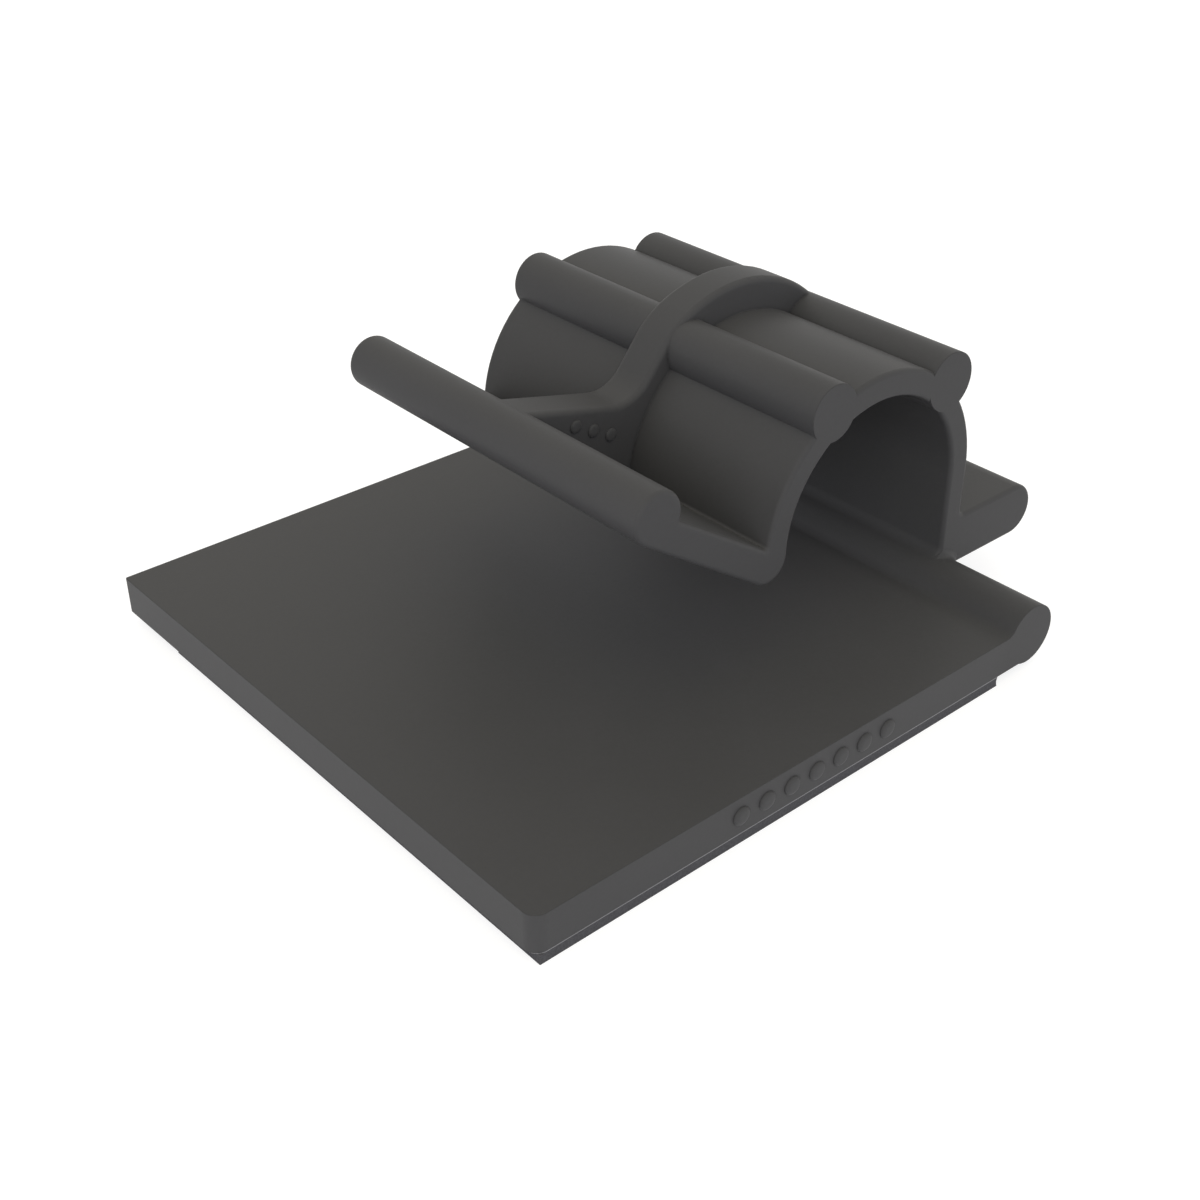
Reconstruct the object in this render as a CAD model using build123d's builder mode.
from build123d import *
import os
from math import cos, radians, sin

# Self-adhesive cable clip, moulded in one piece of nylon, with a square of adhesive tape
# under its base plate. Millimetres, +Z up from the surface that the tape sticks to, +Y along
# the cable, +X from the free edge of the plate to its hinged edge. The origin is the centre
# of the tape's underside.

# Adhesive pad
pad_side = 25.4
pad_thickness = 0.5
pad_inset = 0.25            # from the plate's free edge to the pad

# Base plate, with a round bead along its hinged edge
base_width = 29.05          # from the free edge to the outside of the edge bead
base_length = 29.15         # along the cable
base_thickness = 1.75
base_near_corner_radius = 0.6    # of the free edge's corner at the pad's flush end
base_far_corner_radius = 0.1
edge_bead_radius = 1.41
edge_bead_drop = 0.12       # how far the bead dips below the plate
edge_bead_fillet = 0.5

# Clip: a wall rises from the edge bead and arches over the cable channel
clip_length = 18.5
channel_radius = 5.1
channel_floor_gap = 0.05    # between the channel's circle and the plate
wall_thickness = 1.17
wall_inset = 0.08           # from the outside of the edge bead to the outside of the wall
wall_foot_radius = 0.5
end_edge_radius = 0.2      # round the clip's end faces

# Rods along the arch, which stiffen it and grip the cable
front_rod_radius = 1.25
front_rod_angle = 117.8
front_rod_lift = -0.05      # of the rod's centre off the arch's outer face
rear_rod_radius = 1.33
rear_rod_angle = 47.0
rear_rod_lift = 0.075

# Lip, flange and tab bead on the open side
lip_radius = 1.05
flange_angle = 34.2
flange_thickness = 1.46     # at the lip
flange_tip_thickness = 1.35 # at the tab bead
flange_reach = 7.36         # from the lip's centre to the tab bead's centre
tab_bead_radius = 1.15
groove_radius = 0.12
tab_bead_fillet = 0.12

# Release lever on the back of the wall
lever_reach = 5.3
lever_thickness = 2.49
lever_lift = 0.15           # underside of the lever above the plate's top
lever_fillet = 0.35
lever_foot_radius = 0.12

# Cross rib at mid-length, from the tab bead over the arch to the rear rod
rib_thickness = 1.95
rib_crown_shift = 0.05      # crown's centre beyond the channel's axis
rib_crown_rise = 0.74       # crown's centre above the channel's axis
rib_crown_sink = 0.17       # crown under the outside of the rear rod
rib_tip_sink = 0.03         # low run under the top of the tab bead
rib_low_slope = 14.0        # of the low run that falls away from the tab bead
rib_steep_slope = 52.0      # of the steep run that climbs to the crown
rib_shoulder_angle = 124.5  # where the steep run meets the crown
rib_bend_radius = 1.8
rib_shoulder_radius = 4.0
rib_edge_radius = 0.25

# Places worked out from the sizes
plate_bottom = pad_thickness
plate_top = plate_bottom + base_thickness
base_left = -pad_side / 2 - pad_inset
base_right = base_left + base_width
base_front = -pad_side / 2
base_back = base_front + base_length
clip_middle = (base_front + base_back) / 2
edge_bead_x = base_right - edge_bead_radius
edge_bead_z = plate_bottom - edge_bead_drop + edge_bead_radius
wall_outside = base_right - wall_inset
wall_inside = wall_outside - wall_thickness
channel_x = wall_inside - channel_radius
channel_z = plate_top + channel_floor_gap + channel_radius
arch_radius = channel_radius + wall_thickness
lever_bottom = plate_top + lever_lift
lever_nose_x = wall_outside + lever_reach - lever_thickness / 2


def around(centre, radius, angle):
    """Point at a radius and an angle round a centre, counted from +X towards +Z."""
    return centre + Vector(cos(radians(angle)), sin(radians(angle))) * radius


channel = Vector(channel_x, channel_z)
front_rod = around(channel, arch_radius + front_rod_lift, front_rod_angle)
rear_rod = around(channel, arch_radius + rear_rod_lift, rear_rod_angle)

# The flange's underside is tangent to the lip and to the tab bead. `along` runs from the lip
# to the tab bead, and `under` points out of the underside.
along = around(Vector(0, 0), 1, 180 - flange_angle)
under = around(Vector(0, 0), 1, 270 - flange_angle)
lip = channel - Vector(channel_radius + lip_radius, 0)
tab_bead = lip + along * flange_reach + under * (lip_radius - tab_bead_radius)
flange_low = lip + under * lip_radius
flange_high = tab_bead + under * tab_bead_radius
flange_tip = flange_high - under * flange_tip_thickness
flange_root = flange_low - under * flange_thickness
lip_side = lip + Vector(lip_radius, 0)
lip_bottom = around(lip, lip_radius, 315 - flange_angle / 2)

# The rib's crown is an arc that runs into the rear rod. From its shoulder a steep run
# falls to a bend, and a low run climbs from the bend to the top of the tab bead.
crown = channel + Vector(rib_crown_shift, rib_crown_rise)
crown_radius = (rear_rod - crown).length + rear_rod_radius - rib_crown_sink
crown_end = crown + (rear_rod - crown).normalized() * crown_radius
crown_top = around(crown, crown_radius, 90)
shoulder = around(crown, crown_radius, rib_shoulder_angle)
rib_tip = around(tab_bead, tab_bead_radius - rib_tip_sink, 90 - rib_low_slope)
low_run = around(Vector(0, 0), 1, -rib_low_slope)
steep_run = around(Vector(0, 0), 1, rib_steep_slope)
wall_left = around(channel, channel_radius + wall_thickness / 2, 180)
wall_crest = around(channel, channel_radius + wall_thickness / 2, 90)
wall_rear = around(channel, channel_radius + wall_thickness / 2, rear_rod_angle)
bend = rib_tip + low_run * ((shoulder - rib_tip).cross(steep_run).Z / low_run.cross(steep_run).Z)

# Inner corners of the clip's section, to within the reach of a nearest-corner search
groove = flange_root + along * (arch_radius - channel_radius) / 3
tab_corner = flange_tip - along * tab_bead_radius
wall_foot = Vector(wall_inside, edge_bead_z + edge_bead_radius)
lever_top = Vector(wall_outside, lever_bottom + lever_thickness)
lever_foot = Vector(wall_outside, lever_bottom)

# Rib, as a plate across the clip whose lower edge runs inside the flange and the arch
with BuildPart() as rib:
    with BuildSketch(Plane.XZ.offset(-clip_middle)) as rib_section:
        with BuildLine() as rib_outline:
            Polyline(shoulder, bend, rib_tip, tab_bead, lip, wall_left)
            ThreePointArc(wall_left, wall_crest, wall_rear)
            Polyline(wall_rear, rear_rod, crown_end)
            ThreePointArc(crown_end, crown_top, shoulder)
        make_face()
        fillet(rib_section.vertices().sort_by_distance(bend)[0], rib_bend_radius)
        fillet(rib_section.vertices().sort_by_distance(shoulder)[0], rib_shoulder_radius)
    extrude(amount=rib_thickness / 2, both=True)
    fillet(rib.faces().sort_by(Axis.Z)[-1].edges().filter_by(GeomType.CIRCLE), rib_edge_radius)

# Base plate and edge bead
with BuildPart() as base:
    with BuildSketch(Plane.XZ.offset(-clip_middle)) as base_section:
        with Locations(((base_left + edge_bead_x) / 2, (plate_bottom + plate_top) / 2)):
            Rectangle(edge_bead_x - base_left, base_thickness)
        with Locations((edge_bead_x, edge_bead_z)):
            Circle(edge_bead_radius)
        fillet(
            base_section.vertices().sort_by_distance((edge_bead_x - edge_bead_radius, plate_top))[0],
            edge_bead_fillet,
        )
    extrude(amount=base_length / 2, both=True)
    for corner, radius in ((0, base_near_corner_radius), (-1, base_far_corner_radius)):
        fillet(base.edges().filter_by(Axis.Z).group_by(Axis.X)[0].sort_by(Axis.Y)[corner], radius)

# Clip section: wall, arch, lip, flange, tab bead and lever, with soft edges at its two ends
with BuildPart() as clip_body:
    with BuildSketch(Plane.XZ.offset(-clip_middle)) as clip_section:
        with Locations((channel_x, channel_z)):
            Circle(arch_radius)
        with Locations((channel_x, channel_z - arch_radius / 2)):
            Rectangle(2 * arch_radius, arch_radius, mode=Mode.SUBTRACT)
        with Locations(((wall_inside + wall_outside) / 2, (edge_bead_z + channel_z) / 2)):
            Rectangle(wall_thickness, channel_z - edge_bead_z)
        with Locations((channel_x, channel_z)):
            Circle(channel_radius, mode=Mode.SUBTRACT)
        with Locations((tab_bead.X, tab_bead.Y)):
            Circle(tab_bead_radius)
        with BuildLine():
            Polyline(lip_side, flange_root, flange_tip, flange_high, flange_low)
            ThreePointArc(flange_low, lip_bottom, lip_side)
        make_face()
        with Locations((edge_bead_x, edge_bead_z)):
            Circle(edge_bead_radius)
        with Locations(((wall_inside + lever_nose_x) / 2, lever_bottom + lever_thickness / 2)):
            Rectangle(lever_nose_x - wall_inside, lever_thickness)
        with Locations((lever_nose_x, lever_bottom + lever_thickness / 2)):
            Circle(lever_thickness / 2)
        fillet(clip_section.vertices().sort_by_distance(groove)[0], groove_radius)
        fillet(clip_section.vertices().sort_by_distance(tab_corner)[0], tab_bead_fillet)
        fillet(clip_section.vertices().sort_by_distance(wall_foot)[0], wall_foot_radius)
        fillet(clip_section.vertices().sort_by_distance(lever_top)[0], lever_fillet)
        fillet(clip_section.vertices().sort_by_distance(lever_foot)[0], lever_foot_radius)
    extrude(amount=clip_length / 2, both=True)
    ends = clip_body.faces().filter_by(Plane.XZ)
    fillet(ends.edges(), end_edge_radius)
    with BuildSketch(Plane.XZ.offset(-clip_middle)) as rods:
        with Locations((front_rod.X, front_rod.Y)):
            Circle(front_rod_radius)
        with Locations((rear_rod.X, rear_rod.Y)):
            Circle(rear_rod_radius)
    extrude(amount=clip_length / 2, both=True)
    add(base.part)
    add(rib.part)

# Adhesive pad, flush with the plate's front end
with BuildPart() as adhesive_pad:
    with BuildSketch() as pad_outline:
        Rectangle(pad_side, pad_side)
    extrude(amount=pad_thickness)

clip_body.part.label = "clip_body"
adhesive_pad.part.label = "adhesive_pad"

os.makedirs("parts", exist_ok=True)
export_step(clip_body.part, "parts/clip_body.step")
export_step(adhesive_pad.part, "parts/adhesive_pad.step")
